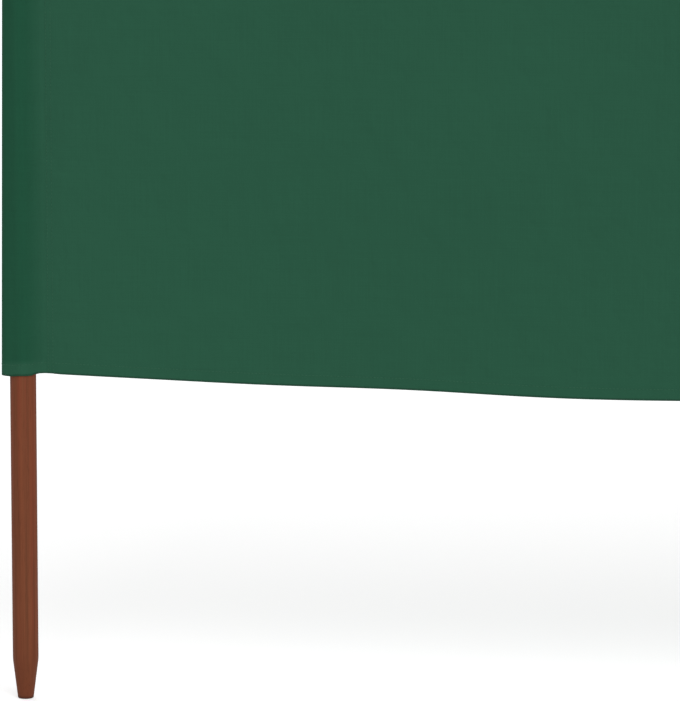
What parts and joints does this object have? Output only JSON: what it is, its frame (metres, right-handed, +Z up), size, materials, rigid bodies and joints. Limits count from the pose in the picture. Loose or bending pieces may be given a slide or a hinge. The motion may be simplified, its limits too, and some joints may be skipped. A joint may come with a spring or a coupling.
{
  "type": "beach windbreak",
  "caption": "Free-running cloth screen for a beach: plain green bays sewn into sleeves on tapered wooden poles that are pushed into the sand in a shallow zigzag.",
  "frame": {"origin": "centre of the flat end of the middle pole's tip", "axes": "+X along the run to the right seen from the front, +Y from the front to the back, +Z up along the poles"},
  "size_m": [5.3122, 0.2411, 1.2],
  "materials": {
    "pole_wood": "stained, matt",
    "sleeve_cloth": "plain weave, matt",
    "panel_cloth": "plain weave, matt",
    "hem_cloth": "plain weave, matt"
  },
  "bodies": {
    "root": {"pole_1": "pole_wood", "pole_2": "pole_wood", "pole_3": "pole_wood", "pole_4": "pole_wood", "pole_5": "pole_wood", "sleeve_1": "sleeve_cloth", "sleeve_2": "sleeve_cloth", "sleeve_3": "sleeve_cloth", "sleeve_4": "sleeve_cloth", "sleeve_5": "sleeve_cloth", "panel_1": "panel_cloth", "panel_2": "panel_cloth", "panel_3": "panel_cloth", "panel_4": "panel_cloth", "top_hem_1": "hem_cloth", "top_hem_2": "hem_cloth", "top_hem_3": "hem_cloth", "top_hem_4": "hem_cloth", "bottom_hem_1": "hem_cloth", "bottom_hem_2": "hem_cloth", "bottom_hem_3": "hem_cloth", "bottom_hem_4": "hem_cloth"}
  },
  "joints": []
}
